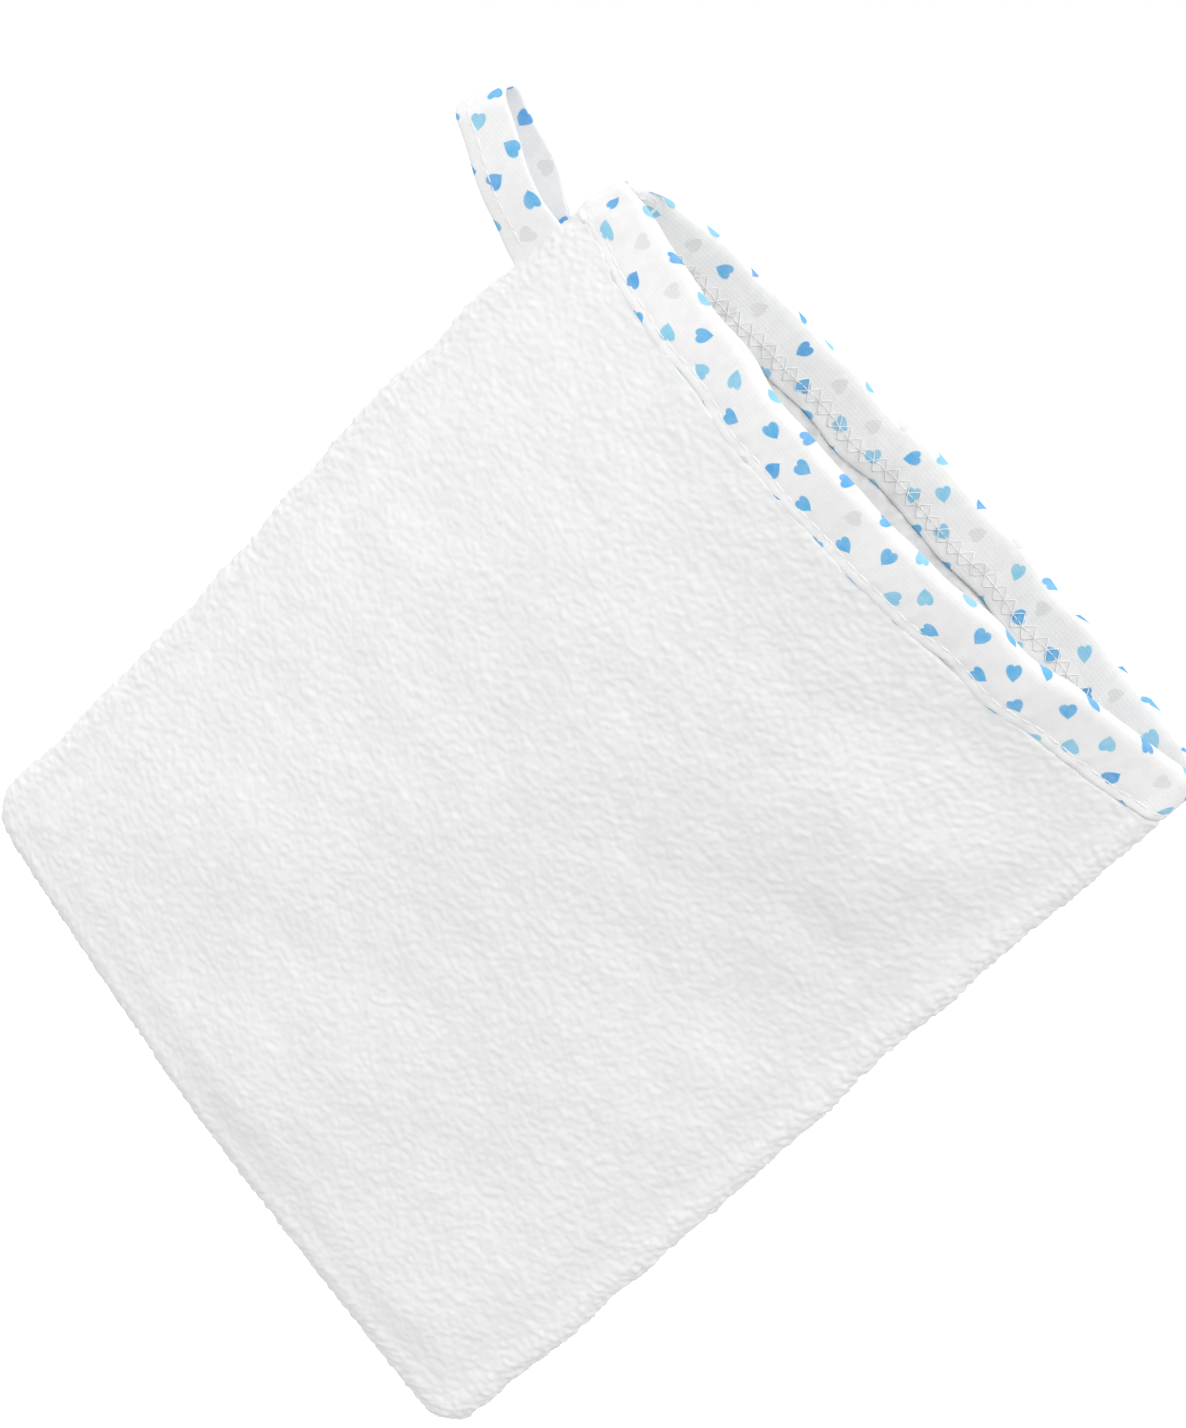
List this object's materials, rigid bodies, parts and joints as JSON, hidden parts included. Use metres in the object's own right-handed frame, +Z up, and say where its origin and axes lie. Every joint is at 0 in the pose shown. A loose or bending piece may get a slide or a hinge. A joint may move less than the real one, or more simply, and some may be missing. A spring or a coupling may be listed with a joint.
{
  "type": "terry wash mitt",
  "caption": "White terry bath mitt with a printed cotton binding round its mouth, hanging by a fabric tape loop.",
  "frame": {"origin": "the seat inside the top of the hanging loop, where a hook carries the mitt", "axes": "+Z up as it hangs, +X to the viewer's right, +Y from the front face to the back face; the mitt hangs by one corner, so its mouth faces up and to the right"},
  "size_m": [0.2339, 0.052, 0.259],
  "materials": {
    "terry": "looped white cotton pile",
    "printed_cotton": "smooth white cotton with small blue and grey hearts",
    "thread": "white polyester sewing thread"
  },
  "bodies": {
    "loop": {"hanging_loop": "printed_cotton", "loop_stitch_thread": "thread"},
    "mitt": {"terry_body": "terry", "mouth_binding": "printed_cotton", "topstitch_thread": "thread", "zigzag_thread": "thread", "side_seam_thread": "thread", "end_seam_thread": "thread"}
  },
  "joints": [
    {"name": "loop_fold", "type": "hinge", "parent": "loop", "child": "mitt", "pos_m": [0.01426, 0, -0.03078], "axis": [-0.7144, 0, -0.6998], "range_deg": [-80, 80]}
  ]
}
